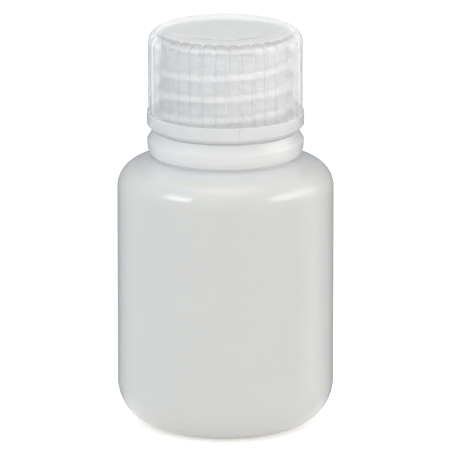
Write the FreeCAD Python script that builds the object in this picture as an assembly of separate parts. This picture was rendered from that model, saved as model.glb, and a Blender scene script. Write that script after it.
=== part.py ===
"""Wide-mouth bottle of about 60 mL, with a ribbed screw cap and a soft sealing plug.

The bottle stands on the XY plane with its axis along +Z. The origin is the centre of
its standing ring. The front is towards -Y. All lengths are in millimetres.
"""
import FreeCAD, Part
import math
import os
from FreeCAD import Vector

# Bottle body, blown from soft plastic
BODY_R = 21.25
WALL = 1.1
BASE_CORNER_R = 9.1
STRAIGHT_H = 38.65
SHOULDER_R = 5.1
SHOULDER_SLOPE_DEG = 23.0
STANDING_INSET = 1.25
PUSH_UP_SLOPE_W = 3.4
PUSH_UP_H = 1.3
PUSH_UP_ROUND = 3.0
STANDING_ROUND = 1.0
PINCH_LINE_MARGIN = 1.0
PINCH_LINE_W = 0.8
PINCH_LINE_H = 0.3

# Groove and hollow collar between the shoulder and the neck
GROOVE_STEP = 1.2
GROOVE_H = 0.5
GROOVE_WALL = 1.3
COLLAR_STEP = 2.85
COLLAR_FOOT_INSET = 0.3
COLLAR_TOP_INSET = 1.15
COLLAR_H = 4.6
COLLAR_SIDE_LOW_H = 1.6
COLLAR_SIDE_TOP_H = 3.3
COLLAR_WALL = 1.9
GROOVE_ROUND = 0.15
COLLAR_FOOT_ROUND = 0.25
COLLAR_SIDE_ROUND = 3.0
COLLAR_EDGE_ROUND = 1.2
COLLAR_TOP_ROUND = 0.4
COLLAR_INNER_ROUND = 0.9
GROOVE_INNER_ROUND = 0.5

# Neck and mouth
NECK_R = 12.55
NECK_WALL = 1.5
NECK_H = 18.0
LIP_ROUND = 0.4
LIP_INNER_ROUND = 0.2
NECK_ROOT_ROUND = 0.3
BORE_FLARE_H = 0.9
BORE_FLARE_ROUND = 1.5

# Screw thread, right-handed, six turns to the inch
PITCH = 25.4 / 6
THREAD_H = 1.05
THREAD_FOOT_W = 2.0
THREAD_CREST_W = 0.9
THREAD_CREST_BULGE = 0.15
THREAD_ROOT_SINK = 0.3
THREAD_CLEARANCE = 0.35
NECK_THREAD_START_DEG = -240.0
NECK_THREAD_START_H = 1.88
NECK_THREAD_END_GAP = 2.15
CAP_THREAD_START_DEG = -30.0
CAP_THREAD_END_GAP = 0.9
RUN_OUT_R = 7.0

# Sealing plug, a soft disc held in the top of the cap
FLANGE_T = 0.9
FLANGE_CLEARANCE = 0.55
SKIRT_L = 3.5
SKIRT_WALL = 1.2
SKIRT_CLEARANCE = 0.15
SKIRT_TIP_TAPER = 0.35
SKIRT_TIP_H = 0.9
SKIRT_ROOT_ROUND = 0.5
SKIRT_TIP_ROUND = 0.2
FLANGE_ROUND = 0.25

# Cap
PANEL_T = 1.3
SIDE_T = 1.25
CAP_FOOT_T = 0.3
CAP_COLLAR_GAP = 0.3
CHAMFER_H = 0.9
BAND_H = 2.5
BAND_PROUD = 0.25
TOP_ROUND = 2.7
INNER_CORNER_ROUND = 0.4
CAP_FOOT_ROUND = 0.1
BAND_FOOT_ROUND = 0.3
BAND_TOP_ROUND = 0.1
RIB_FOOT_ROUND = 0.05
DISH_MARGIN = 4.5
DISH_SLOPE_W = 2.5
DISH_DEPTH = 0.4
DISH_RIM_ROUND = 0.5
DISH_FLOOR_ROUND = 2.0

# Grip ribs, left standing between narrow round-bottomed flutes
RIB_COUNT = 36
FLUTE_DEPTH = 0.35
FLUTE_TOOL_R = 0.5
FLUTE_PHASE_DEG = 1.5
FLUTE_WRAP_DEG = 45.0
FLUTE_EXIT_L = 2.2

# Radii and heights that follow from the sizes above
standing_r = BODY_R - BASE_CORNER_R - STANDING_INSET
push_up_r = standing_r - PUSH_UP_SLOPE_W
bore_r = NECK_R - NECK_WALL
groove_r = NECK_R + GROOVE_STEP
collar_r = NECK_R + COLLAR_STEP
slope = math.radians(SHOULDER_SLOPE_DEG)
shoulder_turn = math.pi / 2 - slope
straight_top_z = BASE_CORNER_R + STRAIGHT_H
shoulder_apex_z = straight_top_z + SHOULDER_R * math.tan(shoulder_turn / 2)
groove_z = shoulder_apex_z + (BODY_R - groove_r) * math.tan(slope)
collar_z = groove_z + GROOVE_H
collar_top_z = collar_z + COLLAR_H
land_z = collar_top_z + NECK_H
panel_z = land_z + FLANGE_T
top_z = panel_z + PANEL_T
cap_foot_z = collar_top_z + CAP_COLLAR_GAP
band_z = cap_foot_z + CHAMFER_H
band_top_z = band_z + BAND_H
cap_bore_r = NECK_R + THREAD_H + THREAD_CLEARANCE
rib_r = cap_bore_r + SIDE_T
band_r = rib_r + BAND_PROUD
dish_rim_r = rib_r - DISH_MARGIN
neck_thread_z = collar_top_z + NECK_THREAD_START_H
neck_thread_turns = (land_z - NECK_THREAD_END_GAP - neck_thread_z) / PITCH
UP = Vector(0, 0, 1)
ORIGIN = Vector(0, 0, 0)


def turned(corners):
    """Revolves a closed outline of (radius, height, rounding) corners about the Z axis."""
    points = [Vector(r, 0, z) for r, z, rounding in corners]
    edges = []
    first_end = None
    last_end = None
    for i, here in enumerate(points):
        rounding = corners[i][2]
        back = (points[i - 1] - here).normalize()
        ahead = (points[(i + 1) % len(points)] - here).normalize()
        half_turn = (math.pi - back.getAngle(ahead)) / 2
        setback = rounding * math.tan(half_turn)
        arc_start = here + back * setback
        arc_end = here + ahead * setback
        if last_end is None:
            first_end = arc_start
        else:
            edges.append(Part.LineSegment(last_end, arc_start).toShape())
        if rounding > 0:
            inward = (back + ahead).normalize()
            centre = here + inward * (rounding / math.cos(half_turn))
            edges.append(Part.Arc(arc_start, centre - inward * rounding, arc_end).toShape())
        last_end = arc_end
    edges.append(Part.LineSegment(last_end, first_end).toShape())
    return Part.Face(Part.Wire(edges)).revolve(ORIGIN, UP, 360)


def helical_ridge(root_r, side, turns):
    """Sweeps one thread ridge up a right-hand helix from angle 0 and height 0.

    side is 1 for a ridge that stands out of the wall, and -1 for one inside a bore.
    """
    foot_r = root_r - side * THREAD_ROOT_SINK
    crest_r = root_r + side * (THREAD_H - THREAD_CREST_BULGE)
    half_foot = THREAD_FOOT_W / 2
    half_crest = THREAD_CREST_W / 2
    foot_low = Vector(foot_r, 0, -half_foot)
    crest_low = Vector(crest_r, 0, -half_crest)
    crest_middle = Vector(root_r + side * THREAD_H, 0, 0)
    crest_high = Vector(crest_r, 0, half_crest)
    foot_high = Vector(foot_r, 0, half_foot)
    section = Part.Wire(
        [
            Part.LineSegment(foot_low, crest_low).toShape(),
            Part.Arc(crest_low, crest_middle, crest_high).toShape(),
            Part.LineSegment(crest_high, foot_high).toShape(),
            Part.LineSegment(foot_high, foot_low).toShape(),
        ]
    )
    path = Part.Wire(Part.makeHelix(PITCH, PITCH * turns, root_r).Edges)
    sweep = Part.BRepOffsetAPI.MakePipeShell(path)
    sweep.setFrenetMode(True)
    sweep.add(section)
    sweep.build()
    sweep.makeSolid()
    return sweep.shape()


def placed(shape, angle_deg, z):
    """Returns a copy turned about Z, with 0 degrees at the front, and lifted to a height."""
    copy = shape.copy()
    copy.rotate(ORIGIN, UP, angle_deg - 90)
    copy.translate(Vector(0, 0, z))
    return copy


def end_slot_height():
    """Height of a run-out cutter: it covers one end of a ridge and misses the next turn."""
    return PITCH - THREAD_FOOT_W / 2 + THREAD_ROOT_SINK


def outer_run_out(root_r):
    """Block with one face tangent to the neck, which ramps a ridge's end down to the wall."""
    size = 2 * root_r
    block = Part.makeBox(size, size, end_slot_height())
    block.translate(Vector(root_r, -root_r, -end_slot_height() / 2))
    return block


def inner_run_out(root_r):
    """Cylinder that touches the bore from inside, which ramps a ridge's end out to the wall."""
    centre = Vector(root_r - RUN_OUT_R, 0, -end_slot_height() / 2)
    return Part.makeCylinder(RUN_OUT_R, end_slot_height(), centre)


def thread(root_r, side, start_deg, start_z, turns):
    """One thread ridge in place, with both of its ends run out."""
    ridge = placed(helical_ridge(root_r, side, turns), start_deg, start_z)
    cutter = outer_run_out(root_r) if side > 0 else inner_run_out(root_r)
    ridge = ridge.cut(placed(cutter, start_deg, start_z))
    return ridge.cut(placed(cutter, start_deg + 360 * turns, start_z + PITCH * turns))


def make_bottle():
    """Body, shoulder, collar and threaded neck, blown in one piece."""
    inner_r = BODY_R - WALL
    inner_drop = WALL / math.cos(slope)
    groove_inner_r = groove_r - GROOVE_WALL
    collar_inner_r = collar_r - COLLAR_WALL
    inner_apex_z = straight_top_z + (SHOULDER_R - WALL) * math.tan(shoulder_turn / 2)
    groove_inner_z = shoulder_apex_z + (BODY_R - groove_inner_r) * math.tan(slope) - inner_drop
    outside = [
        (0, PUSH_UP_H, 0),
        (push_up_r, PUSH_UP_H, PUSH_UP_ROUND),
        (standing_r, 0, STANDING_ROUND),
        (BODY_R, 0, BASE_CORNER_R),
        (BODY_R, shoulder_apex_z, SHOULDER_R),
        (groove_r, groove_z, GROOVE_ROUND),
        (groove_r, collar_z, GROOVE_ROUND),
        (collar_r - COLLAR_FOOT_INSET, collar_z, COLLAR_FOOT_ROUND),
        (collar_r, collar_z + COLLAR_SIDE_LOW_H, COLLAR_SIDE_ROUND),
        (collar_r, collar_z + COLLAR_SIDE_TOP_H, COLLAR_EDGE_ROUND),
        (collar_r - COLLAR_TOP_INSET, collar_top_z, COLLAR_TOP_ROUND),
        (NECK_R, collar_top_z, NECK_ROOT_ROUND),
        (NECK_R, land_z, LIP_ROUND),
    ]
    inside = [
        (bore_r, land_z, LIP_INNER_ROUND),
        (bore_r, collar_top_z + BORE_FLARE_H, BORE_FLARE_ROUND),
        (collar_inner_r, collar_z + COLLAR_SIDE_TOP_H, COLLAR_INNER_ROUND),
        (collar_inner_r, collar_z + COLLAR_SIDE_LOW_H, COLLAR_INNER_ROUND),
        (groove_inner_r, collar_z, GROOVE_INNER_ROUND),
        (groove_inner_r, groove_inner_z, GROOVE_INNER_ROUND),
        (inner_r, inner_apex_z, SHOULDER_R - WALL),
        (inner_r, WALL, BASE_CORNER_R - WALL),
        (standing_r, WALL, STANDING_ROUND),
        (push_up_r, PUSH_UP_H + WALL, PUSH_UP_ROUND),
        (0, PUSH_UP_H + WALL, 0),
    ]
    bottle = turned(outside + inside)
    ridge = thread(NECK_R, 1, NECK_THREAD_START_DEG, neck_thread_z, neck_thread_turns)
    reach = push_up_r - PINCH_LINE_MARGIN
    pinch_corner = Vector(-reach, -PINCH_LINE_W / 2, PUSH_UP_H - PINCH_LINE_H)
    pinch_line = Part.makeBox(2 * reach, PINCH_LINE_W, PINCH_LINE_H + WALL / 2, pinch_corner)
    return bottle.fuse([ridge, pinch_line]).removeSplitter()


def make_sealing_plug():
    """Disc that lies on the mouth, with a short skirt that closes the bore."""
    flange_r = cap_bore_r - FLANGE_CLEARANCE
    skirt_r = bore_r - SKIRT_CLEARANCE
    tip_z = land_z - SKIRT_L
    corners = [
        (0, land_z, 0),
        (skirt_r - SKIRT_WALL, land_z, SKIRT_ROOT_ROUND),
        (skirt_r - SKIRT_WALL, tip_z, SKIRT_TIP_ROUND),
        (skirt_r - SKIRT_TIP_TAPER, tip_z, SKIRT_TIP_ROUND),
        (skirt_r, tip_z + SKIRT_TIP_H, SKIRT_TIP_ROUND),
        (skirt_r, land_z, 0),
        (flange_r, land_z, FLANGE_ROUND),
        (flange_r, panel_z, FLANGE_ROUND),
        (0, panel_z, 0),
    ]
    return turned(corners)


def flute_tool():
    """Round bar that follows the cap's side and its rounded top edge, then runs out."""
    path_r = rib_r - FLUTE_DEPTH + FLUTE_TOOL_R
    bend_r = path_r - (rib_r - TOP_ROUND)
    bend_centre = Vector(rib_r - TOP_ROUND, 0, top_z - TOP_ROUND)
    wrap = math.radians(FLUTE_WRAP_DEG)
    foot = Vector(path_r, 0, band_top_z)
    bend_start = bend_centre + Vector(bend_r, 0, 0)
    bend_middle = bend_centre + Vector(math.cos(wrap / 2), 0, math.sin(wrap / 2)) * bend_r
    bend_end = bend_centre + Vector(math.cos(wrap), 0, math.sin(wrap)) * bend_r
    exit_end = bend_end + Vector(-math.sin(wrap), 0, math.cos(wrap)) * FLUTE_EXIT_L
    path = Part.Wire(
        [
            Part.LineSegment(foot, bend_start).toShape(),
            Part.Arc(bend_start, bend_middle, bend_end).toShape(),
            Part.LineSegment(bend_end, exit_end).toShape(),
        ]
    )
    section = Part.Wire(Part.makeCircle(FLUTE_TOOL_R, foot, UP))
    return path.makePipeShell([section], True, False)


def make_cap():
    """Cap with a dished top, ribbed side, plain band and an inside thread."""
    outline = [
        (cap_bore_r, cap_foot_z, 0),
        (cap_bore_r + CAP_FOOT_T, cap_foot_z, CAP_FOOT_ROUND),
        (band_r, band_z, BAND_FOOT_ROUND),
        (band_r, band_top_z, BAND_TOP_ROUND),
        (rib_r, band_top_z, RIB_FOOT_ROUND),
        (rib_r, top_z, TOP_ROUND),
        (dish_rim_r, top_z, DISH_RIM_ROUND),
        (dish_rim_r - DISH_SLOPE_W, top_z - DISH_DEPTH, DISH_FLOOR_ROUND),
        (0, top_z - DISH_DEPTH, 0),
        (0, panel_z, 0),
        (cap_bore_r, panel_z, INNER_CORNER_ROUND),
    ]
    cap = turned(outline)
    tool = flute_tool()
    step_deg = 360 / RIB_COUNT
    tools = [placed(tool, FLUTE_PHASE_DEG + i * step_deg, 0) for i in range(RIB_COUNT)]
    cap = cap.cut(tools)
    thread_turn = (CAP_THREAD_START_DEG - NECK_THREAD_START_DEG) / 360 - 0.5
    thread_z = neck_thread_z + PITCH * thread_turn
    end_z = land_z - CAP_THREAD_END_GAP - THREAD_FOOT_W / 2
    turns = (end_z - thread_z) / PITCH
    return cap.fuse(thread(cap_bore_r, -1, CAP_THREAD_START_DEG, thread_z, turns))


def single_solid(shape):
    """Returns the shape's one solid, and stops if it isn't one sound solid."""
    if len(shape.Solids) != 1 or not shape.isValid():
        raise ValueError(f"expected one sound solid, found {len(shape.Solids)}")
    return shape.Solids[0]


os.makedirs("parts", exist_ok=True)
pieces = {"bottle": make_bottle(), "sealing_plug": make_sealing_plug(), "cap": make_cap()}
for name, shape in pieces.items():
    solid = single_solid(shape)
    solid.exportStep(f"parts/{name}.step")
    box = solid.optimalBoundingBox(False, False)
    print(f"{name}: {solid.Volume / 1000:.2f} cm3, height {box.ZMin:.2f} to {box.ZMax:.2f}")
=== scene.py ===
"""Dresses the small wide-mouth bottle: a milky bottle, a soft plug and a hazy ribbed cap."""
import bpy
import math
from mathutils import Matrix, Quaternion, Vector


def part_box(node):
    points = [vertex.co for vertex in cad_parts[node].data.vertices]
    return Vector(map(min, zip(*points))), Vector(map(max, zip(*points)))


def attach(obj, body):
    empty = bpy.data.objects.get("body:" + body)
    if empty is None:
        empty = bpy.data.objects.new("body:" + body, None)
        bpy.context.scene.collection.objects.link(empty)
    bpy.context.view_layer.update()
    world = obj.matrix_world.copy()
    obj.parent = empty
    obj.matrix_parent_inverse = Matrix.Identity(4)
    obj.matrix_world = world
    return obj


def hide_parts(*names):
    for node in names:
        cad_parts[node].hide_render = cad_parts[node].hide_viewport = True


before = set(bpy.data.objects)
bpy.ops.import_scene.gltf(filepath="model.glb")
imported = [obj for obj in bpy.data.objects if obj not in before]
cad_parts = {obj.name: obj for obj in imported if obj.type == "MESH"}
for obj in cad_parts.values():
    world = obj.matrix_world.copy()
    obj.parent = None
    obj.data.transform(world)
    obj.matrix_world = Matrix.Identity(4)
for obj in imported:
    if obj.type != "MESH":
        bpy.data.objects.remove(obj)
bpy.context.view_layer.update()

# Floor, lights and camera. The bottle stands on a pale floor among softboxes, with two narrow lamps
# on its cap, and is seen through a long lens from a little above. Two boards that show only in its
# gloss draw its darker edges and the bright stripe on its right side.
SCENE = bpy.context.scene
SCENE.view_settings.view_transform = "Standard"
PHOTO_PX = 450
MM_PER_PX = 0.1965
CAMERA_ELEVATION_DEG = 14.3
CAMERA_DISTANCE = 2.0
AIM = Vector((-0.0001, 0, 0.0399))
SENSOR_MM = 36.0
FLOOR_R = 1.5
FLOOR_SIDES = 96
FLOOR_GREY = 0.9
FLOOR_LIFT = 0.54
CAP_MIDDLE = Vector((0, 0, 0.0705))
FILL_LIGHT = 0.41
DARK_BOARD = (0.2, 0.22, 0.26)
BRIGHT_BOARD = (1.8, 1.8, 1.8)
BOARD_R = 0.036
DARK_BOARD_FOLDS = [(0.013, 0.0003), (BOARD_R, 0.0003), (BOARD_R, 0.078)]
BRIGHT_BOARD_EDGES = [(BOARD_R, 0), (BOARD_R, 0.09)]


def fill_in(node, inputs):
    """Links or sets a node's inputs from a dictionary of socket name or number to link or value."""
    for socket, value in inputs.items():
        if isinstance(value, bpy.types.NodeSocket):
            node.id_data.links.new(value, node.inputs[socket])
        else:
            node.inputs[socket].default_value = value
    return node


def add_node(tree, kind, inputs=None, **options):
    """Adds one node to a tree, sets its options and fills in its inputs."""
    node = tree.nodes.new(kind)
    for option, value in options.items():
        setattr(node, option, value)
    return fill_in(node, inputs or {})


def maths(tree, operation, *values):
    """Result of one Math node."""
    return add_node(tree, "ShaderNodeMath", dict(enumerate(values)), operation=operation).outputs[0]


def new_material(name):
    """A material with only its output node."""
    material = bpy.data.materials.new(name)
    material.use_nodes = True
    material.node_tree.nodes.clear()
    return material, add_node(material.node_tree, "ShaderNodeOutputMaterial")


def seen_directly(tree):
    """1 for a ray that shows a surface to the eye, straight, in a reflection or through plastic."""
    path = add_node(tree, "ShaderNodeLightPath").outputs
    shown = maths(tree, "MAXIMUM", path["Is Camera Ray"], path["Is Glossy Ray"])
    return maths(tree, "MAXIMUM", shown, path["Is Transmission Ray"])


def make_floor():
    """Round pale floor, lifted to white where it is seen, so that it keeps only the bottle's shadow."""
    material, output = new_material("pale_floor")
    tree = material.node_tree
    paper = add_node(tree, "ShaderNodeBsdfDiffuse", {"Color": (FLOOR_GREY, FLOOR_GREY, FLOOR_GREY, 1)})
    lift = maths(tree, "MULTIPLY", seen_directly(tree), FLOOR_LIFT)
    glow = add_node(tree, "ShaderNodeEmission", {"Strength": lift})
    both = add_node(tree, "ShaderNodeAddShader", {0: paper.outputs[0], 1: glow.outputs[0]})
    fill_in(output, {"Surface": both.outputs[0]})
    mesh = bpy.data.meshes.new("floor")
    turns = [math.tau * side / FLOOR_SIDES for side in range(FLOOR_SIDES)]
    rim = [(FLOOR_R * math.cos(turn), FLOOR_R * math.sin(turn), 0) for turn in turns]
    mesh.from_pydata(rim, [], [range(FLOOR_SIDES)])
    mesh.materials.append(material)
    floor = bpy.data.objects.new("floor", mesh)
    SCENE.collection.objects.link(floor)


def make_surroundings():
    """White where it is seen, and a dimmer even light on everything else."""
    SCENE.world = bpy.data.worlds.new("studio")
    SCENE.world.use_nodes = True
    tree = SCENE.world.node_tree
    tree.nodes.clear()
    strength = {"Value": seen_directly(tree), "To Min": FILL_LIGHT, "To Max": 1.0}
    strength = add_node(tree, "ShaderNodeMapRange", strength).outputs[0]
    light = add_node(tree, "ShaderNodeBackground", {"Color": (1, 1, 1, 1), "Strength": strength})
    add_node(tree, "ShaderNodeOutputWorld", {"Surface": light.outputs[0]})


def direction(azimuth_deg, elevation_deg):
    """Unit vector away from the bottle; azimuth 0 is the front and 90 its right-hand side."""
    azimuth = math.radians(azimuth_deg)
    elevation = math.radians(elevation_deg)
    level = math.cos(elevation)
    return Vector((math.sin(azimuth) * level, -math.cos(azimuth) * level, math.sin(elevation)))


def aimed(name, data, away, distance, roll_deg=0, aim=AIM):
    """Puts a lamp or camera at a distance from the bottle, looking at it."""
    holder = bpy.data.objects.new(name, data)
    holder.location = aim + away * distance
    roll = Quaternion((0, 0, 1), math.radians(roll_deg))
    holder.rotation_euler = (away.to_track_quat("Z", "Y") @ roll).to_euler()
    SCENE.collection.objects.link(holder)
    return holder


def softbox(name, place, size, watts, colour, distance=0.6, roll_deg=0, lights=True, shines=False):
    """Rectangular lamp aimed at the bottle, which lights it, shines in its gloss, or both.

    Its place is an azimuth and an elevation in degrees, and its size and distance are in metres.
    """
    lamp = bpy.data.lights.new(name, "AREA")
    lamp.shape = "RECTANGLE"
    lamp.size, lamp.size_y = size
    lamp.energy = watts
    lamp.color = colour
    holder = aimed(name, lamp, direction(*place), distance, roll_deg)
    holder.visible_diffuse = lights
    holder.visible_glossy = shines
    holder.visible_transmission = False


def snooted_light(name, place, watts, colour, distance=0.6, cone_deg=2.7, edge_blend=0.5, lamp_r=0.008):
    """Narrow round lamp that reaches only the cap."""
    lamp = bpy.data.lights.new(name, "SPOT")
    lamp.energy = watts
    lamp.color = colour
    lamp.spot_size = math.radians(cone_deg)
    lamp.spot_blend = edge_blend
    lamp.shadow_soft_size = lamp_r
    holder = aimed(name, lamp, direction(*place), distance, aim=CAP_MIDDLE)
    holder.visible_glossy = False
    holder.visible_transmission = False


def board(name, azimuths_deg, colour, folds, fades_deg, columns=48):
    """Curved board that shows only in the bottle's gloss, where it draws a darker or brighter stripe.

    It runs round the bottle between two azimuths, and folds at (radius, height) places. A fade, in degrees,
    takes each side gradually from the white of the surroundings to the board's own colour.
    """
    material, output = new_material(name)
    shade = add_node(material.node_tree, "ShaderNodeVertexColor", layer_name="shade").outputs[0]
    face = add_node(material.node_tree, "ShaderNodeEmission", {"Color": shade})
    fill_in(output, {"Surface": face.outputs[0]})
    points = []
    shades = []
    first, last = azimuths_deg
    for column in range(columns + 1):
        azimuth = first + (last - first) * column / columns
        points += [direction(azimuth, 0) * radius + Vector((0, 0, height)) for radius, height in folds]
        own = min(1, (azimuth - first) / fades_deg[0], (last - azimuth) / fades_deg[1])
        shades += [value * own + 1 - own for value in (*colour, 1)] * len(folds)
    rows = len(folds)
    corners = [rows * column + row for column in range(columns) for row in range(rows - 1)]
    mesh = bpy.data.meshes.new(name)
    mesh.from_pydata(points, [], [(n, n + 1, n + rows + 1, n + rows) for n in corners])
    mesh.color_attributes.new("shade", "FLOAT_COLOR", "POINT").data.foreach_set("color", shades)
    mesh.materials.append(material)
    holder = bpy.data.objects.new(name, mesh)
    holder.visible_camera = False
    holder.visible_diffuse = False
    holder.visible_transmission = False
    holder.visible_shadow = False
    SCENE.collection.objects.link(holder)


make_floor()
make_surroundings()
softbox("left_softbox", (-70, 25), (0.5, 0.5), 0.53, (0.63, 0.79, 1.0))
softbox("right_softbox", (70, 25), (0.5, 0.5), 0.45, (1.0, 0.96, 0.93))
softbox("front_softbox", (0, 28), (1.2, 0.8), 2.25, (1.0, 0.95, 0.85), distance=1.0)
softbox("overhead_softbox", (0, 78), (0.5, 0.4), 0.98, (0.93, 0.965, 1.0), shines=True)
softbox("rear_softbox", (180, 50), (0.8, 0.5), 0.95, (0.93, 0.965, 1.0), distance=0.8)
softbox("left_strip_light", (-55, 29), (0.28, 0.2), 1.1, (1.0, 1.0, 1.0), lights=False, shines=True)
softbox(
    "right_window_light", (84, 23), (0.65, 0.26), 2.2, (1.0, 0.99, 0.96),
    roll_deg=-12, lights=False, shines=True,
)
snooted_light("right_cap_light", (46, 14), 3.2, (1.0, 0.97, 0.92))
snooted_light("left_cap_light", (-22, 16), 1.3, (0.95, 0.98, 1.0))
board("dark_board", (92, 268), DARK_BOARD, DARK_BOARD_FOLDS, fades_deg=(26, 28))
board("right_bright_board", (60, 90), BRIGHT_BOARD, BRIGHT_BOARD_EDGES, fades_deg=(6, 6))
lens = bpy.data.cameras.new("camera")
lens.sensor_width = SENSOR_MM
lens.lens = SENSOR_MM * CAMERA_DISTANCE * 1000 / (PHOTO_PX * MM_PER_PX)
SCENE.camera = aimed("camera", lens, direction(0, CAMERA_ELEVATION_DEG), CAMERA_DISTANCE)

# Bottle. One blown moulding of natural low-density polyethylene, soft and milky, about a millimetre
# thick. A turned shell has the body, shoulder, hollow collar and neck, and the thread stands out of
# the neck. It stands on its foot ring. Sizes from here on are in millimetres.
MM = 0.001
SHARP_EDGE_DEG = 40
MERGE_GAP = 0.001
HAIR = 0.01
WALL = 1.1
BASE_CORNER_R = 9.1
STANDING_R = 10.9
STANDING_ROUND = 1.0
PUSH_UP_R = 7.5
PUSH_UP_H = 1.3
PUSH_UP_ROUND = 3.0
PINCH_LINE_SIZE = (13.0, 0.8, 0.6)
PINCH_LINE_H = 0.3
SHOULDER_R = 5.1
SHOULDER_SLOPE = math.radians(23)
NECK_R = 12.55
NECK_WALL = 1.5
NECK_H = 18.0
NECK_ROOT_ROUND = 0.3
LIP_ROUND = 0.4
LIP_INNER_ROUND = 0.2
BORE_FLARE_H = 0.9
BORE_FLARE_ROUND = 1.5
GROOVE_R = 14.05
GROOVE_H = 0.5
GROOVE_WALL = 1.3
GROOVE_ROUND = 0.25
GROOVE_INNER_ROUND = 0.3
COLLAR_R = 15.4
COLLAR_LOW_R = 15.28
COLLAR_FOOT_R = 14.85
COLLAR_TOP_R = 14.25
COLLAR_H = 4.6
COLLAR_LOW_H = 1.0
COLLAR_EDGE_H = 2.7
COLLAR_WALL = 1.9
COLLAR_FOOT_ROUND = 0.4
COLLAR_LOW_ROUND = 0.8
COLLAR_EDGE_ROUND = 0.15
COLLAR_TOP_ROUND = 0.3
COLLAR_INNER_LOW_H = 1.6
COLLAR_INNER_ROUND = 0.9
COLLAR_INNER_FOOT_ROUND = 0.5
PITCH = 25.4 / 6
THREAD_H = 1.05
NECK_THREAD_START_DEG = -240
NECK_THREAD_START_H = 1.88
NECK_THREAD_END_GAP = 2.15
BOTTLE_COLUMNS = 192
CLOUD_SHADE = 0.975
GRAIN_SIZE = 0.35
GRAIN_DEPTH = 0.01
WAVE_SIZE = 9
WAVE_DEPTH = 0.12
MILK_DEPTH = 2.5
POLYETHYLENE_IOR = 1.51
# Radii over which the neck's painted shade turns into the thread's painted light.
PAINTED_SHADE_TO_LIGHT_RADII = (NECK_R + 0.1, NECK_R + 0.7)
body_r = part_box("bottle")[1].x / MM
land_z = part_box("bottle")[1].z / MM
collar_top_z = land_z - NECK_H
collar_z = collar_top_z - COLLAR_H
groove_z = collar_z - GROOVE_H
shoulder_apex_z = groove_z - (body_r - GROOVE_R) * math.tan(SHOULDER_SLOPE)
straight_top_z = shoulder_apex_z - SHOULDER_R * math.tan((math.pi / 2 - SHOULDER_SLOPE) / 2)
neck_thread_z = collar_top_z + NECK_THREAD_START_H
collar_shade_heights = (groove_z - 2.0, groove_z - 0.8)
neck_painted_shade_heights = (collar_top_z - 0.4, collar_top_z + 0.2)


def rounded(corners, degrees_per_step=6.0, support=0.12):
    """Points through (radius, height, rounding) corners, with an arc at each rounding.

    Each straight stretch gets a point near both of its ends, which keeps it straight in the shading.
    """
    points = [Vector((r, z)) for r, z, rounding in corners]
    path = [points[0]]
    for i in range(1, len(points)):
        here = points[i]
        back = (points[i - 1] - here).normalized()
        rounding = corners[i][2]
        arc = [here]
        if rounding > 0:
            ahead = (points[i + 1] - here).normalized()
            half_turn = (math.pi - back.angle(ahead)) / 2
            middle = here + (back + ahead).normalized() * (rounding / math.cos(half_turn))
            start = here + back * (rounding * math.tan(half_turn))
            end = here + ahead * (rounding * math.tan(half_turn))
            steps = max(3, round(math.degrees(2 * half_turn) / degrees_per_step))
            first_arm = (start - middle).normalized()
            last_arm = (end - middle).normalized()
            arc = [middle + first_arm.slerp(last_arm, n / steps) * rounding for n in range(steps + 1)]
        if (arc[0] - path[-1]).length > 3 * support:
            path += [path[-1] - back * support, arc[0] + back * support]
        path += arc
    return path


def outline_object(name, path):
    """An outline as a chain of edges over the X axis, for a tree to turn about the Z axis."""
    mesh = bpy.data.meshes.new(name)
    points = [(point.x * MM, 0, point.y * MM) for point in path]
    mesh.from_pydata(points, [(n, n + 1) for n in range(len(path) - 1)], [])
    holder = bpy.data.objects.new(name, mesh)
    SCENE.collection.objects.link(holder)
    return holder


def new_tree(name, sizes):
    """A Geometry Nodes tree with an outline, named sizes and a material as its inputs."""
    tree = bpy.data.node_groups.new(name, "GeometryNodeTree")
    tree.interface.new_socket("Outline", in_out="INPUT", socket_type="NodeSocketGeometry")
    for size in sizes:
        tree.interface.new_socket(size, in_out="INPUT", socket_type="NodeSocketFloat")
    tree.interface.new_socket("Material", in_out="INPUT", socket_type="NodeSocketMaterial")
    tree.interface.new_socket("Piece", in_out="OUTPUT", socket_type="NodeSocketGeometry")
    return tree, tree.nodes.new("NodeGroupInput").outputs


def turned_shell(tree, outline, columns):
    """Turns the outline about the Z axis into a closed shell."""
    ring_r = 1 * MM
    chain = add_node(tree, "GeometryNodeMeshToCurve", {"Mesh": outline}).outputs[0]
    here = add_node(tree, "GeometryNodeInputPosition").outputs[0]
    place = add_node(tree, "ShaderNodeSeparateXYZ", {0: here}).outputs
    flat = {"X": maths(tree, "SUBTRACT", place["X"], ring_r), "Y": maths(tree, "MULTIPLY", place["Z"], -1)}
    flat = add_node(tree, "ShaderNodeCombineXYZ", flat).outputs[0]
    chain = add_node(tree, "GeometryNodeSetPosition", {"Geometry": chain, "Position": flat}).outputs[0]
    ring = {"Resolution": columns, "Radius": ring_r}
    ring = add_node(tree, "GeometryNodeCurvePrimitiveCircle", ring).outputs[0]
    ring = add_node(tree, "GeometryNodeSetCurveNormal", {"Curve": ring}, mode="Z_UP").outputs[0]
    shell = add_node(tree, "GeometryNodeCurveToMesh", {"Curve": ring, "Profile Curve": chain}).outputs[0]
    closed = {"Geometry": shell, "Distance": MERGE_GAP * MM}
    shell = add_node(tree, "GeometryNodeMergeByDistance", closed).outputs[0]
    return add_node(tree, "GeometryNodeFlipFaces", {"Mesh": shell}).outputs[0]


THREAD_SIZES = ["Thread side", "Thread root radius", "Thread height", "Pitch", "Turns"]
THREAD_PLACE = ["Start angle", "Start height"]


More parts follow.
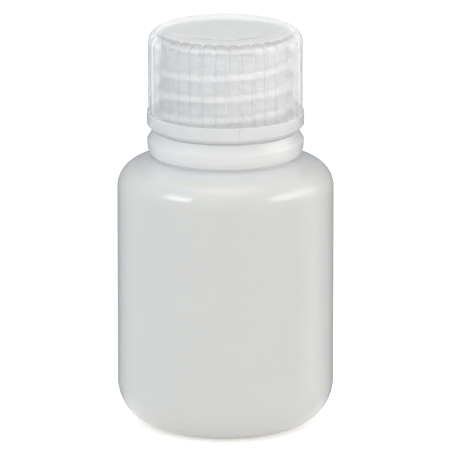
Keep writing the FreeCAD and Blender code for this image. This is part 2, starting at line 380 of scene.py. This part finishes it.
def thread_ridge(tree, sizes):
    """One helical ridge, sunk a little in its wall, that shrinks into the wall at both ends."""
    steps_per_turn = 120
    run_out = math.radians(26)
    tip_scale = 0.04
    foot_w, crest_w, sink, crest_round = (width * MM for width in (2.0, 0.9, 0.3, 0.25))
    side, root_r, height, pitch, turns = (sizes[size] for size in THREAD_SIZES)
    crest_x = maths(tree, "MULTIPLY", side, height)
    foot_x = maths(tree, "MULTIPLY", side, -sink)
    corners = {}
    widths = [(foot_x, -foot_w), (crest_x, -crest_w), (crest_x, crest_w), (foot_x, foot_w)]
    for number, (x, width) in enumerate(widths):
        corner = add_node(tree, "ShaderNodeCombineXYZ", {"X": x, "Y": width / 2})
        corners[f"Point {number + 1}"] = corner.outputs[0]
    section = add_node(tree, "GeometryNodeCurvePrimitiveQuadrilateral", corners, mode="POINTS").outputs[0]
    rounding = {"Curve": section, "Count": 3, "Radius": crest_round, "Limit Radius": True}
    section = add_node(tree, "GeometryNodeFilletCurve", rounding, mode="POLY").outputs[0]
    helix = {
        "Resolution": steps_per_turn,
        "Rotations": turns,
        "Start Radius": root_r,
        "End Radius": root_r,
        "Height": maths(tree, "MULTIPLY", turns, pitch),
        "Reverse": True,
    }
    helix = add_node(tree, "GeometryNodeCurveSpiral", helix).outputs[0]
    helix = add_node(tree, "GeometryNodeSetCurveNormal", {"Curve": helix}, mode="Z_UP").outputs[0]
    whole = maths(tree, "MULTIPLY", turns, math.tau)
    gone = maths(tree, "MULTIPLY", whole, add_node(tree, "GeometryNodeSplineParameter").outputs["Factor"])
    to_end = maths(tree, "MINIMUM", gone, maths(tree, "SUBTRACT", whole, gone))
    grown = {"Value": to_end, "From Max": run_out, "To Min": tip_scale}
    grown = add_node(tree, "ShaderNodeMapRange", grown, interpolation_type="SMOOTHSTEP").outputs[0]
    sweep = {"Curve": helix, "Profile Curve": section, "Scale": grown, "Fill Caps": True}
    ridge = add_node(tree, "GeometryNodeCurveToMesh", sweep).outputs[0]
    inside = add_node(tree, "FunctionNodeCompare", {0: side, 1: 0.0}, operation="LESS_THAN").outputs[0]
    ridge = add_node(tree, "GeometryNodeFlipFaces", {"Mesh": ridge, "Selection": inside}).outputs[0]
    turn = add_node(tree, "ShaderNodeCombineXYZ", {"Z": sizes["Start angle"]}).outputs[0]
    lift = add_node(tree, "ShaderNodeCombineXYZ", {"Z": sizes["Start height"]}).outputs[0]
    place = {"Geometry": ridge, "Translation": lift, "Rotation": turn}
    return add_node(tree, "GeometryNodeTransform", place).outputs[0]


def joined(tree, shell, ridge):
    """Shell and ridge as one closed skin."""
    both = add_node(tree, "GeometryNodeMeshBoolean", operation="UNION", solver="EXACT")
    tree.links.new(shell, both.inputs["Mesh 2"])
    tree.links.new(ridge, both.inputs["Mesh 2"])
    return both.outputs[0]


def with_bar(tree, skin, size, place, angle=0.0):
    """Adds a small straight bar to a skin, by its size, its middle and a turn about the Z axis."""
    bar = add_node(tree, "GeometryNodeMeshCube", {"Size": tuple(side * MM for side in size)}).outputs[0]
    bar = add_node(tree, "GeometryNodeTransform", {"Geometry": bar, "Translation": place}).outputs[0]
    turn = add_node(tree, "ShaderNodeCombineXYZ", {"Z": angle}).outputs[0]
    bar = add_node(tree, "GeometryNodeTransform", {"Geometry": bar, "Rotation": turn}).outputs[0]
    return joined(tree, skin, bar)


def finish_tree(tree, skin, material):
    """Smooth shading with its sharp edges kept, real geometry and a material, at the end of a tree."""
    soft = add_node(tree, "GeometryNodeSetShadeSmooth", {"Geometry": skin, "Shade Smooth": True}).outputs[0]
    angle = add_node(tree, "GeometryNodeInputMeshEdgeAngle").outputs["Unsigned Angle"]
    limit = math.radians(SHARP_EDGE_DEG)
    sharp = add_node(tree, "FunctionNodeCompare", {0: angle, 1: limit}, operation="GREATER_THAN").outputs[0]
    edges = {"Geometry": soft, "Selection": sharp, "Shade Smooth": False}
    soft = add_node(tree, "GeometryNodeSetShadeSmooth", edges, domain="EDGE").outputs[0]
    real = add_node(tree, "GeometryNodeRealizeInstances", {"Geometry": soft}).outputs[0]
    dressed = add_node(tree, "GeometryNodeSetMaterial", {"Geometry": real, "Material": material}).outputs[0]
    add_node(tree, "NodeGroupOutput", {"Piece": dressed})


def made_piece(name, tree, outline, sizes):
    """Runs a tree on an outline and returns the result as an object with a plain mesh."""
    holder = outline_object(name + "_outline", outline)
    modifier = holder.modifiers.new("shape", "NODES")
    modifier.node_group = tree
    for item in tree.interface.items_tree:
        if item.in_out == "INPUT" and item.name in sizes:
            modifier[item.identifier] = sizes[item.name]
    graph = bpy.context.evaluated_depsgraph_get()
    mesh = bpy.data.meshes.new_from_object(holder.evaluated_get(graph))
    mesh.name = name
    bpy.data.objects.remove(holder)
    piece = bpy.data.objects.new(name, mesh)
    SCENE.collection.objects.link(piece)
    return piece


def bottle_outline():
    """The bottle's outside from the middle of the base up to the mouth, then its inside back down."""
    inner_r = body_r - WALL
    bore_r = NECK_R - NECK_WALL
    shoulder_turn = math.pi / 2 - SHOULDER_SLOPE
    inner_apex_z = straight_top_z + (SHOULDER_R - WALL) * math.tan(shoulder_turn / 2)
    collar_inner_r = COLLAR_R - COLLAR_WALL
    groove_inner_r = GROOVE_R - GROOVE_WALL
    inner_slope_z = shoulder_apex_z - WALL / math.cos(SHOULDER_SLOPE)
    groove_inner_z = inner_slope_z + (body_r - groove_inner_r) * math.tan(SHOULDER_SLOPE)
    return rounded([
        (0, PUSH_UP_H, 0),
        (PUSH_UP_R, PUSH_UP_H, PUSH_UP_ROUND),
        (STANDING_R, 0, STANDING_ROUND),
        (body_r, 0, BASE_CORNER_R),
        (body_r, shoulder_apex_z, SHOULDER_R),
        (GROOVE_R, groove_z, GROOVE_ROUND),
        (COLLAR_FOOT_R, collar_z, COLLAR_FOOT_ROUND),
        (COLLAR_LOW_R, collar_z + COLLAR_LOW_H, COLLAR_LOW_ROUND),
        (COLLAR_R, collar_z + COLLAR_EDGE_H, COLLAR_EDGE_ROUND),
        (COLLAR_TOP_R, collar_top_z, COLLAR_TOP_ROUND),
        (NECK_R, collar_top_z, NECK_ROOT_ROUND),
        (NECK_R, land_z, LIP_ROUND),
        (bore_r, land_z, LIP_INNER_ROUND),
        (bore_r, collar_top_z + BORE_FLARE_H, BORE_FLARE_ROUND),
        (collar_inner_r, collar_z + COLLAR_EDGE_H, COLLAR_INNER_ROUND),
        (collar_inner_r, collar_z + COLLAR_INNER_LOW_H, COLLAR_INNER_ROUND),
        (groove_inner_r, collar_z, COLLAR_INNER_FOOT_ROUND),
        (groove_inner_r, groove_inner_z, GROOVE_INNER_ROUND),
        (inner_r, inner_apex_z, SHOULDER_R - WALL),
        (inner_r, WALL, BASE_CORNER_R - WALL),
        (STANDING_R, WALL, STANDING_ROUND),
        (PUSH_UP_R, PUSH_UP_H + WALL, PUSH_UP_ROUND),
        (0, PUSH_UP_H + WALL, 0),
    ])


def graded(tree, share, low, high):
    """Colour between two colours or links, by a share from 0 to 1."""
    mix = add_node(tree, "ShaderNodeMix", data_type="RGBA")
    low, high = (end if isinstance(end, bpy.types.NodeSocket) else (*end, 1) for end in (low, high))
    return fill_in(mix, {0: share, 6: low, 7: high}).outputs[2]


def above(tree, where, low_z, high_z):
    """0 below a height and 1 above another, with a soft step between them."""
    height = add_node(tree, "ShaderNodeSeparateXYZ", {0: where}).outputs["Z"]
    step = {"Value": height, "From Min": low_z * MM, "From Max": high_z * MM}
    return add_node(tree, "ShaderNodeMapRange", step, interpolation_type="SMOOTHSTEP").outputs[0]


def beyond(tree, where, low_r, high_r):
    """0 nearer to the axis than one radius and 1 past another, with a soft step between them."""
    level = {0: where, 1: (1, 1, 0)}
    level = add_node(tree, "ShaderNodeVectorMath", level, operation="MULTIPLY").outputs[0]
    radius = add_node(tree, "ShaderNodeVectorMath", {0: level}, operation="LENGTH").outputs["Value"]
    step = {"Value": radius, "From Min": low_r * MM, "From Max": high_r * MM}
    return add_node(tree, "ShaderNodeMapRange", step, interpolation_type="SMOOTHSTEP").outputs[0]


def natural_polyethylene(name, wall_colour, collar_colour, painted_shade_neck_colour, painted_light_thread_colour, roughness, cloud_size):
    """Milky plastic that glows where light passes through it, with faint clouds and a soft skin.

    The neck's wall between the thread turns is painted darker and a little cooler than the body and the
    collar, as painted shade, and the thick thread is painted whiter, as painted light.
    """
    material, output = new_material(name)
    tree = material.node_tree
    where = add_node(tree, "ShaderNodeTexCoord").outputs["Object"]
    cloud = {"Vector": where, "Scale": 1 / (cloud_size * MM), "Detail": 3.0, "Roughness": 0.5}
    cloud = add_node(tree, "ShaderNodeTexNoise", cloud).outputs["Fac"]
    wall = graded(tree, cloud, tuple(part * CLOUD_SHADE for part in wall_colour), wall_colour)
    # Painted shade and light: the neck between the thread turns is painted darker and cooler, and the thread
    # is painted whiter.
    neck = graded(tree, beyond(tree, where, *PAINTED_SHADE_TO_LIGHT_RADII), painted_shade_neck_colour, painted_light_thread_colour)
    neck = graded(tree, above(tree, where, *neck_painted_shade_heights), collar_colour, neck)
    colour = graded(tree, above(tree, where, *collar_shade_heights), wall, neck)
    grain = {"Vector": where, "Scale": 1 / (GRAIN_SIZE * MM), "Detail": 4.0}
    grain = add_node(tree, "ShaderNodeTexNoise", grain).outputs["Fac"]
    waves = {"Vector": where, "Scale": 1 / (WAVE_SIZE * MM), "Detail": 1.0}
    waves = add_node(tree, "ShaderNodeTexNoise", waves).outputs["Fac"]
    skin = {"Height": grain, "Strength": 0.12, "Distance": GRAIN_DEPTH * MM}
    skin = add_node(tree, "ShaderNodeBump", skin).outputs[0]
    skin = {"Height": waves, "Strength": 0.5, "Distance": WAVE_DEPTH * MM, "Normal": skin}
    skin = add_node(tree, "ShaderNodeBump", skin).outputs[0]
    gloss = {"Value": cloud, "To Min": roughness - 0.04, "To Max": roughness + 0.06}
    gloss = add_node(tree, "ShaderNodeMapRange", gloss).outputs[0]
    plastic = {
        "Base Color": colour,
        "Roughness": gloss,
        "IOR": POLYETHYLENE_IOR,
        "Normal": skin,
        "Subsurface Weight": 1.0,
        "Subsurface Radius": (1.0, 0.95, 0.85),
        "Subsurface Scale": MILK_DEPTH * MM,
    }
    plastic = add_node(tree, "ShaderNodeBsdfPrincipled", plastic)
    fill_in(output, {"Surface": plastic.outputs[0]})
    return material


bottle_size_names = ["Columns", *THREAD_SIZES, *THREAD_PLACE, "Pinch line height"]
bottle_tree, bottle_sizes = new_tree("turned_and_threaded", bottle_size_names)
bottle_skin = turned_shell(bottle_tree, bottle_sizes["Outline"], bottle_sizes["Columns"])
bottle_skin = joined(bottle_tree, bottle_skin, thread_ridge(bottle_tree, bottle_sizes))
pinch_place = {"Z": bottle_sizes["Pinch line height"]}
pinch_place = add_node(bottle_tree, "ShaderNodeCombineXYZ", pinch_place).outputs[0]
bottle_skin = with_bar(bottle_tree, bottle_skin, PINCH_LINE_SIZE, pinch_place)
finish_tree(bottle_tree, bottle_skin, bottle_sizes["Material"])
milky = natural_polyethylene(
    "milky_polyethylene",
    wall_colour=(0.957, 0.92, 0.836),
    collar_colour=(0.915, 0.915, 0.895),
    # The neck's colour is painted shade between the thread turns, and the thread's colour is painted light.
    painted_shade_neck_colour=(0.785, 0.81, 0.84),
    painted_light_thread_colour=(0.99, 0.99, 0.985),
    roughness=0.17,
    cloud_size=14,
)
bottle = made_piece("blown_bottle", bottle_tree, bottle_outline(), {
    "Columns": float(BOTTLE_COLUMNS),
    "Thread side": 1.0,
    "Thread root radius": NECK_R * MM,
    "Thread height": THREAD_H * MM,
    "Pitch": PITCH * MM,
    "Turns": (land_z - NECK_THREAD_END_GAP - neck_thread_z) / PITCH,
    "Start angle": math.radians(NECK_THREAD_START_DEG - 90),
    "Start height": neck_thread_z * MM,
    "Pinch line height": (PUSH_UP_H - PINCH_LINE_H + PINCH_LINE_SIZE[2] / 2) * MM,
    "Material": milky,
})
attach(bottle, "bottle")
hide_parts("bottle")

# Sealing plug. One soft disc of natural polyethylene with a short skirt. It is pressed up under the
# cap's top panel, lies on the mouth and closes the bore.
plug_low, plug_high = (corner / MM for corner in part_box("sealing_plug"))
SKIRT_WALL = 1.2
SKIRT_CLEARANCE = 0.15
SKIRT_TIP_TAPER = 0.35
SKIRT_TIP_H = 0.9
SKIRT_ROOT_ROUND = 0.5
SKIRT_TIP_ROUND = 0.2
FLANGE_ROUND = 0.25
PLUG_COLUMNS = 144
PLUG_WHITE = (0.9, 0.9, 0.89)


def plug_outline():
    """From the disc's underside down round the skirt, out over the flange and back on top."""
    skirt_r = NECK_R - NECK_WALL - SKIRT_CLEARANCE
    return rounded([
        (0, land_z, 0),
        (skirt_r - SKIRT_WALL, land_z, SKIRT_ROOT_ROUND),
        (skirt_r - SKIRT_WALL, plug_low.z, SKIRT_TIP_ROUND),
        (skirt_r - SKIRT_TIP_TAPER, plug_low.z, SKIRT_TIP_ROUND),
        (skirt_r, plug_low.z + SKIRT_TIP_H, SKIRT_TIP_ROUND),
        (skirt_r, land_z, 0),
        (plug_high.x, land_z, FLANGE_ROUND),
        (plug_high.x, plug_high.z, FLANGE_ROUND),
        (0, plug_high.z, 0),
    ])


plug_tree, plug_sizes = new_tree("turned", ["Columns"])
plug_skin = turned_shell(plug_tree, plug_sizes["Outline"], plug_sizes["Columns"])
finish_tree(plug_tree, plug_skin, plug_sizes["Material"])
plug_plastic = natural_polyethylene(
    "soft_plug_polyethylene", PLUG_WHITE, PLUG_WHITE, PLUG_WHITE, PLUG_WHITE, roughness=0.4, cloud_size=8
)
plug_values = {"Columns": float(PLUG_COLUMNS), "Material": plug_plastic}
plug = made_piece("soft_sealing_plug", plug_tree, plug_outline(), plug_values)
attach(plug, "sealing_plug")
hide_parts("sealing_plug")

# Cap. One moulding of natural polypropylene, harder and clearer than the bottle. Round-bottomed
# flutes between its grip ribs run out over the rounded top edge, its thread is inside, and a small
# upright bar stands on the band at its foot.
cap_low, cap_high = (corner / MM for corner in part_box("cap"))
SIDE_T = 1.25
BAND_PROUD = 0.25
CAP_FOOT_T = 0.3
CHAMFER_H = 0.9
BAND_H = 2.5
TOP_ROUND = 2.7
INNER_CORNER_ROUND = 0.4
CAP_FOOT_ROUND = 0.1
BAND_FOOT_ROUND = 0.3
BAND_TOP_ROUND = 0.1
DISH_MARGIN = 4.5
DISH_SLOPE_W = 2.5
DISH_DEPTH = 0.4
DISH_RIM_ROUND = 0.5
DISH_FLOOR_ROUND = 2.0
FLUTES = 36
FLUTE_PHASE_DEG = 1.5
FLUTE_R = 0.5
FLUTE_DEPTH = 0.35
FLUTE_WRAP_DEG = 45
COLUMNS_PER_FLUTE = 14
OUTSIDE_HAZE = 0.38
BAND_HAZE = 0.7
BORE_HAZE = 0.06
THREAD_HAZE = 0.35
HAZE_CLOUDS = 0.08
CAP_FLOW_SIZE = 6
SCUFF_SIZE = 0.5
CAP_MILK_DEPTH = 1.5
POLYPROPYLENE_IOR = 1.49
MILKIER_COLOUR = (0.955, 0.95, 0.935)
CLEARER_COLOUR = (0.985, 0.98, 0.965)
# Painted shade: the top panel's colour is darker and cooler than the side's.
PAINTED_SHADE_PANEL_COLOUR = (0.9, 0.91, 0.92)
BAND_BAR_SIZE = (0.35, 0.3, 2.0)
BAND_BAR_AZIMUTH_DEG = 10.8
CAP_THREAD_START_DEG = -30
CAP_THREAD_END_GAP = 1.9
FLUTE_SIZES = ["Flutes", "Flute phase", "Flute radius", "Flute depth", "Flute foot", "Flute wrap"]
SIDE_SIZES = ["Rib radius", "Top height", "Top rounding"]
rib_r = cap_high.x - BAND_PROUD
cap_bore_r = rib_r - SIDE_T
band_z = cap_low.z + CHAMFER_H
band_top_z = band_z + BAND_H
thread_haze_radii = (cap_bore_r - 0.5, cap_bore_r - 0.2)
outside_haze_radii = (cap_bore_r + 0.05, cap_bore_r + 0.2)
outside_haze_heights = (plug_high.z + 0.03, plug_high.z + 0.12)
side_haze_heights = (band_top_z - 0.1, band_top_z + 0.1)
painted_shade_panel_heights = (cap_high.z - 1.2, cap_high.z - 0.4)


def cap_outline():
    """From the panel's underside down the bore, round the foot, up the side and in over the top."""
    dish_rim_r = rib_r - DISH_MARGIN
    return rounded([
        (0, plug_high.z, 0),
        (cap_bore_r, plug_high.z, INNER_CORNER_ROUND),
        (cap_bore_r, cap_low.z, 0),
        (cap_bore_r + CAP_FOOT_T, cap_low.z, CAP_FOOT_ROUND),
        (cap_high.x, band_z, BAND_FOOT_ROUND),
        (cap_high.x, band_top_z, BAND_TOP_ROUND),
        (rib_r, band_top_z, 0),
        (rib_r, cap_high.z, TOP_ROUND),
        (dish_rim_r, cap_high.z, DISH_RIM_ROUND),
        (dish_rim_r - DISH_SLOPE_W, cap_high.z - DISH_DEPTH, DISH_FLOOR_ROUND),
        (0, cap_high.z - DISH_DEPTH, 0),
    ], degrees_per_step=4.5)


def fluted(tree, shell, sizes):
    """Presses the flutes into the shell: a round bar for each, bent over the cap's top rounding."""
    here = add_node(tree, "GeometryNodeInputPosition").outputs[0]
    place = add_node(tree, "ShaderNodeSeparateXYZ", {0: here}).outputs
    step = maths(tree, "DIVIDE", math.tau, sizes["Flutes"])
    half_step = maths(tree, "DIVIDE", step, 2.0)
    azimuth = maths(tree, "ARCTAN2", place["Y"], place["X"])
    past = maths(tree, "SUBTRACT", azimuth, sizes["Flute phase"])
    past = maths(tree, "WRAP", past, half_step, maths(tree, "MULTIPLY", half_step, -1.0))
    level = add_node(tree, "ShaderNodeCombineXYZ", {"X": place["X"], "Y": place["Y"]}).outputs[0]
    radius = add_node(tree, "ShaderNodeVectorMath", {0: level}, operation="LENGTH").outputs["Value"]
    outward = add_node(tree, "ShaderNodeVectorMath", {0: level}, operation="NORMALIZE").outputs[0]
    aside = maths(tree, "MULTIPLY", radius, maths(tree, "SINE", past))
    bend_r = maths(tree, "SUBTRACT", sizes["Rib radius"], sizes["Top rounding"])
    bend_z = maths(tree, "SUBTRACT", sizes["Top height"], sizes["Top rounding"])
    out = maths(tree, "SUBTRACT", radius, bend_r)
    up = maths(tree, "MAXIMUM", maths(tree, "SUBTRACT", place["Z"], bend_z), 0.0)
    lean = maths(tree, "MINIMUM", maths(tree, "ARCTAN2", up, out), sizes["Flute wrap"])
    lean_out = maths(tree, "COSINE", lean)
    lean_up = maths(tree, "SINE", lean)
    reach = maths(tree, "MULTIPLY", out, lean_out)
    reach = maths(tree, "ADD", reach, maths(tree, "MULTIPLY", up, lean_up))
    bar_r = sizes["Flute radius"]
    bar_reach = maths(tree, "ADD", sizes["Top rounding"], bar_r)
    bar_reach = maths(tree, "SUBTRACT", bar_reach, sizes["Flute depth"])
    half_chord = maths(tree, "SUBTRACT", maths(tree, "POWER", bar_r, 2.0), maths(tree, "POWER", aside, 2.0))
    half_chord = maths(tree, "SQRT", maths(tree, "MAXIMUM", half_chord, 0.0))
    depth = maths(tree, "SUBTRACT", half_chord, maths(tree, "SUBTRACT", bar_reach, reach))
    above_foot = maths(tree, "GREATER_THAN", place["Z"], sizes["Flute foot"])
    side_limit = maths(tree, "ADD", sizes["Rib radius"], HAIR * MM)
    on_side = maths(tree, "LESS_THAN", radius, side_limit)
    depth = maths(tree, "MULTIPLY", depth, maths(tree, "MULTIPLY", above_foot, on_side))
    depth = maths(tree, "MAXIMUM", depth, 0.0)
    inward = {0: outward, "Scale": maths(tree, "MULTIPLY", lean_out, -1.0)}
    inward = add_node(tree, "ShaderNodeVectorMath", inward, operation="SCALE").outputs[0]
    down = add_node(tree, "ShaderNodeCombineXYZ", {"Z": maths(tree, "MULTIPLY", lean_up, -1.0)}).outputs[0]
    way = add_node(tree, "ShaderNodeVectorMath", {0: inward, 1: down}, operation="ADD").outputs[0]
    press = add_node(tree, "ShaderNodeVectorMath", {0: way, "Scale": depth}, operation="SCALE").outputs[0]
    return add_node(tree, "GeometryNodeSetPosition", {"Geometry": shell, "Offset": press}).outputs[0]


def gathered_columns(tree, shell, sizes, share=0.6):
    """Turns the shell's columns towards the flutes, so that the narrow flutes get most of them."""
    here = add_node(tree, "GeometryNodeInputPosition").outputs[0]
    place = add_node(tree, "ShaderNodeSeparateXYZ", {0: here}).outputs
    azimuth = maths(tree, "ARCTAN2", place["Y"], place["X"])
    past = maths(tree, "SUBTRACT", azimuth, sizes["Flute phase"])
    wave = maths(tree, "SINE", maths(tree, "MULTIPLY", past, sizes["Flutes"]))
    turn = maths(tree, "MULTIPLY", maths(tree, "DIVIDE", wave, sizes["Flutes"]), -share)
    spun = {"Vector": here, "Angle": turn}
    spun = add_node(tree, "ShaderNodeVectorRotate", spun, rotation_type="Z_AXIS").outputs[0]
    return add_node(tree, "GeometryNodeSetPosition", {"Geometry": shell, "Position": spun}).outputs[0]


def natural_polypropylene():
    """Hazy clear plastic: it lets the neck's thread show as soft bands, under a gloss with fine scuffs.

    The bore is nearly clear, the outside is hazier, and the band at the foot is the haziest. The top panel is
    painted darker and cooler than the side, as painted shade.
    """
    material, output = new_material("hazy_polypropylene")
    tree = material.node_tree
    where = add_node(tree, "ShaderNodeTexCoord").outputs["Object"]
    flow = {"Vector": where, "Scale": 1 / (CAP_FLOW_SIZE * MM), "Detail": 3.0, "Distortion": 0.4}
    flow = add_node(tree, "ShaderNodeTexNoise", flow).outputs["Fac"]
    scuffs = {"Vector": where, "Scale": 1 / (SCUFF_SIZE * MM), "Detail": 5.0}
    scuffs = add_node(tree, "ShaderNodeTexNoise", scuffs).outputs["Fac"]
    skin = {"Height": scuffs, "Strength": 0.1, "Distance": GRAIN_DEPTH * MM}
    skin = add_node(tree, "ShaderNodeBump", skin).outputs[0]
    gloss = add_node(tree, "ShaderNodeMapRange", {"Value": flow, "To Min": 0.14, "To Max": 0.24}).outputs[0]
    colour = graded(tree, flow, MILKIER_COLOUR, CLEARER_COLOUR)
    # Painted shade on the top panel.
    colour = graded(tree, above(tree, where, *painted_shade_panel_heights), colour, PAINTED_SHADE_PANEL_COLOUR)
    bore = beyond(tree, where, *thread_haze_radii)
    haze = {"Value": bore, "To Min": THREAD_HAZE, "To Max": BORE_HAZE}
    haze = add_node(tree, "ShaderNodeMapRange", haze).outputs[0]
    outside = beyond(tree, where, *outside_haze_radii)
    outside = maths(tree, "MAXIMUM", outside, above(tree, where, *outside_haze_heights))
    side = above(tree, where, *side_haze_heights)
    skin_haze = {"Value": side, "To Min": BAND_HAZE - BORE_HAZE, "To Max": OUTSIDE_HAZE - BORE_HAZE}
    skin_haze = add_node(tree, "ShaderNodeMapRange", skin_haze).outputs[0]
    haze = maths(tree, "ADD", haze, maths(tree, "MULTIPLY", outside, skin_haze))
    clouds = maths(tree, "MULTIPLY", maths(tree, "SUBTRACT", flow, 0.5), HAZE_CLOUDS)
    haze = maths(tree, "ADD", haze, clouds)
    plastic = {
        "Base Color": colour,
        "Roughness": gloss,
        "IOR": POLYPROPYLENE_IOR,
        "Normal": skin,
        "Alpha": haze,
        "Subsurface Weight": 1.0,
        "Subsurface Radius": (1.0, 1.0, 1.0),
        "Subsurface Scale": CAP_MILK_DEPTH * MM,
        "Coat Weight": 0.6,
        "Coat Roughness": 0.08,
    }
    plastic = add_node(tree, "ShaderNodeBsdfPrincipled", plastic)
    fill_in(output, {"Surface": plastic.outputs[0]})
    return material


cap_size_names = ["Columns", *SIDE_SIZES, *FLUTE_SIZES, *THREAD_SIZES, *THREAD_PLACE]
cap_size_names += ["Band bar angle", "Band bar radius", "Band bar height"]
cap_tree, cap_sizes = new_tree("turned_fluted_and_threaded", cap_size_names)
cap_skin = turned_shell(cap_tree, cap_sizes["Outline"], cap_sizes["Columns"])
cap_skin = gathered_columns(cap_tree, cap_skin, cap_sizes)
cap_skin = fluted(cap_tree, cap_skin, cap_sizes)
cap_skin = joined(cap_tree, cap_skin, thread_ridge(cap_tree, cap_sizes))
bar_place = {"X": cap_sizes["Band bar radius"], "Z": cap_sizes["Band bar height"]}
bar_place = add_node(cap_tree, "ShaderNodeCombineXYZ", bar_place).outputs[0]
cap_skin = with_bar(cap_tree, cap_skin, BAND_BAR_SIZE, bar_place, cap_sizes["Band bar angle"])
finish_tree(cap_tree, cap_skin, cap_sizes["Material"])
cap_thread_z = neck_thread_z + PITCH * ((CAP_THREAD_START_DEG - NECK_THREAD_START_DEG) / 360 - 0.5)
cap = made_piece("ribbed_cap", cap_tree, cap_outline(), {
    "Columns": float(FLUTES * COLUMNS_PER_FLUTE),
    "Rib radius": rib_r * MM,
    "Top height": cap_high.z * MM,
    "Top rounding": TOP_ROUND * MM,
    "Flutes": float(FLUTES),
    "Flute phase": math.radians(FLUTE_PHASE_DEG - 90),
    "Flute radius": FLUTE_R * MM,
    "Flute depth": FLUTE_DEPTH * MM,
    "Flute foot": (band_top_z - HAIR) * MM,
    "Flute wrap": math.radians(FLUTE_WRAP_DEG),
    "Thread side": -1.0,
    "Thread root radius": cap_bore_r * MM,
    "Thread height": THREAD_H * MM,
    "Pitch": PITCH * MM,
    "Turns": (land_z - CAP_THREAD_END_GAP - cap_thread_z) / PITCH,
    "Start angle": math.radians(CAP_THREAD_START_DEG - 90),
    "Start height": cap_thread_z * MM,
    "Band bar angle": math.radians(BAND_BAR_AZIMUTH_DEG - 90),
    "Band bar radius": cap_high.x * MM,
    "Band bar height": (band_z + band_top_z) / 2 * MM,
    "Material": natural_polypropylene(),
})
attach(cap, "cap")
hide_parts("cap")
